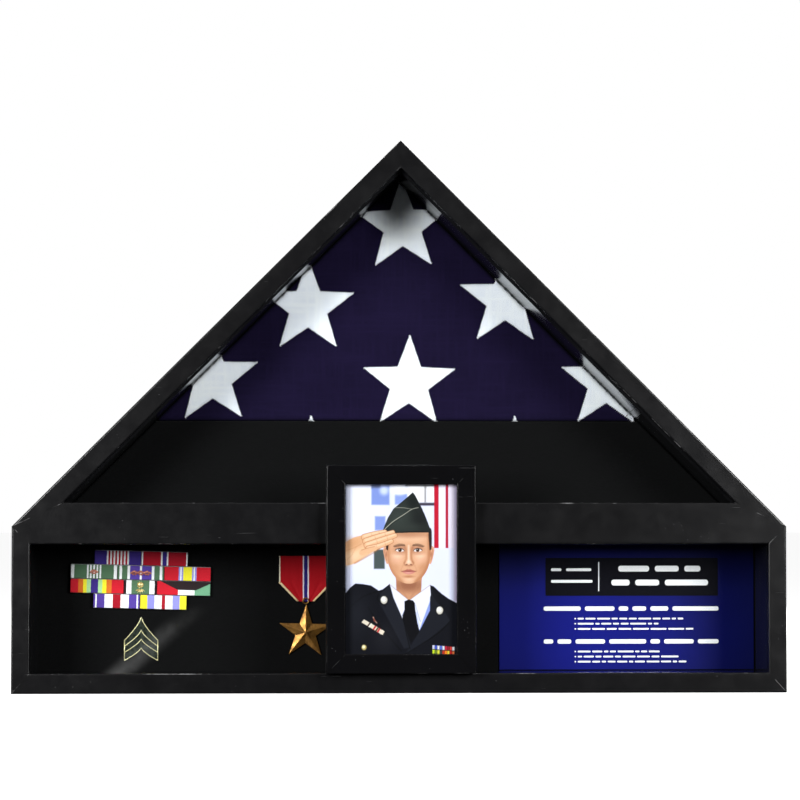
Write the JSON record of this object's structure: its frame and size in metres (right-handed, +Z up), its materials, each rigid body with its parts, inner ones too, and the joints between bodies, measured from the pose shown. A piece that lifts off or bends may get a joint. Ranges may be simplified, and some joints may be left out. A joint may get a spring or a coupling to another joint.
{
  "type": "folded flag display case",
  "caption": "Gabled shadow-box case for a folded flag, with a base compartment for ribbons, a medal and a card, a small slot-loading photo frame in front and turn-button back panels.",
  "frame": {"origin": "bottom centre of the case, on the surface that it stands on", "axes": "+X to the right along the width, seen from the front; the front faces -Y and +Y points to the back panels; +Z up to the apex"},
  "size_m": [0.596, 0.098, 0.426],
  "materials": {
    "face_moulding": "satin black film over a wood-fibre moulding, worn pale at edges",
    "case_board": "satin black film over a wood-fibre board",
    "photo_moulding": "satin black moulding with worn edges",
    "photo_backing": "black stained fibre board",
    "glass": "clear polished glass",
    "spacer": "semi-gloss black strip",
    "felt": "black felt, matte and fibrous",
    "back_panel": "raw brown fibre board",
    "zinc": "zinc-plated steel",
    "photo_paper": "gloss photographic print",
    "grey_card": "grey card",
    "flag_cloth": "woven navy bunting with sewn white stars",
    "ribbon": "grosgrain ribbon with woven stripes",
    "rack_metal": "pressed brass",
    "gold_metal": "gold-coloured pressed metal with dark enamel",
    "bronze": "darkened bronze",
    "blue_card": null
  },
  "bodies": {
    "case": {"base_board": "case_board", "base_felt_board": "felt", "base_glass": "glass", "base_spacer_bottom": "spacer", "base_spacer_left": "spacer", "base_spacer_right": "spacer", "base_spacer_top": "spacer", "divider_shelf": "case_board", "face_rafter_left": "face_moulding", "face_rafter_right": "face_moulding", "face_rail_bottom": "face_moulding", "face_rail_middle": "face_moulding", "face_stile_left": "face_moulding", "face_stile_right": "face_moulding", "flag_backing_board": "felt", "flag_glass": "glass", "flag_spacer_bottom": "spacer", "flag_spacer_left": "spacer", "flag_spacer_right": "spacer", "flag_support_block": "felt", "folded_flag": "flag_cloth", "info_card": "blue_card", "medal_ribbon": "ribbon", "medal_ring": "bronze", "medal_star": "bronze", "photo_frame_back": "photo_backing", "photo_frame_bottom": "photo_moulding", "photo_frame_left": "photo_moulding", "photo_frame_right": "photo_moulding", "photo_frame_top": "photo_moulding", "photo_glass": "glass", "photo_slot_strip_bottom": "photo_backing", "photo_slot_strip_left": "photo_backing", "photo_slot_strip_right": "photo_backing", "rank_chevrons": "gold_metal", "ribbon_rack_plate": "rack_metal", "ribbon_row_1": "ribbon", "ribbon_row_2": "ribbon", "ribbon_row_3": "ribbon", "ribbon_row_4": "ribbon", "roof_board_left": "case_board", "roof_board_right": "case_board", "side_board_left": "case_board", "side_board_right": "case_board", "turn_button_screws": "zinc"},
    "turn_button_1": {"turn_button_1": "zinc"},
    "turn_button_2": {"turn_button_2": "zinc"},
    "turn_button_3": {"turn_button_3": "zinc"},
    "turn_button_4": {"turn_button_4": "zinc"},
    "turn_button_5": {"turn_button_5": "zinc"},
    "turn_button_6": {"turn_button_6": "zinc"},
    "turn_button_7": {"turn_button_7": "zinc"},
    "turn_button_8": {"turn_button_8": "zinc"},
    "flag_back_panel": {"flag_back_panel": "back_panel"},
    "base_back_panel": {"base_back_panel": "back_panel"},
    "photo_insert": {"photo_print": "photo_paper", "photo_backing_card": "grey_card"}
  },
  "joints": [
    {"name": "turn_button_1_turn", "type": "hinge", "parent": "case", "child": "turn_button_1", "pos_m": [-0.21714, 0.04595, 0.2025], "axis": [0, 1, 0], "range_deg": [0, 90]},
    {"name": "turn_button_2_turn", "type": "hinge", "parent": "case", "child": "turn_button_2", "pos_m": [0.21714, 0.04595, 0.2025], "axis": [0, 1, 0], "range_deg": [0, 90]},
    {"name": "turn_button_3_turn", "type": "hinge", "parent": "case", "child": "turn_button_3", "pos_m": [-0.089, 0.04595, 0.33064], "axis": [0, 1, 0], "range_deg": [0, 90]},
    {"name": "turn_button_4_turn", "type": "hinge", "parent": "case", "child": "turn_button_4", "pos_m": [0.089, 0.04595, 0.33064], "axis": [0, 1, 0], "range_deg": [0, 90]},
    {"name": "turn_button_5_turn", "type": "hinge", "parent": "case", "child": "turn_button_5", "pos_m": [-0.2935, 0.04595, 0.064], "axis": [0, 1, 0], "range_deg": [0, 90]},
    {"name": "turn_button_6_turn", "type": "hinge", "parent": "case", "child": "turn_button_6", "pos_m": [0.2935, 0.04595, 0.064], "axis": [0, 1, 0], "range_deg": [0, 90]},
    {"name": "turn_button_7_turn", "type": "hinge", "parent": "case", "child": "turn_button_7", "pos_m": [-0.149, 0.04595, 0.0045], "axis": [0, 1, 0], "range_deg": [0, 90]},
    {"name": "turn_button_8_turn", "type": "hinge", "parent": "case", "child": "turn_button_8", "pos_m": [0.149, 0.04595, 0.0045], "axis": [0, 1, 0], "range_deg": [0, 90]},
    {"name": "flag_back_panel_lift_off", "type": "slide", "parent": "case", "child": "flag_back_panel", "axis": [0, 1, 0], "range_m": [0, 0.08]},
    {"name": "base_back_panel_lift_off", "type": "slide", "parent": "case", "child": "base_back_panel", "axis": [0, 1, 0], "range_m": [0, 0.08]},
    {"name": "photo_insert_slide", "type": "slide", "parent": "case", "child": "photo_insert", "axis": [0, 0, 1], "range_m": [0, 0.14]}
  ]
}
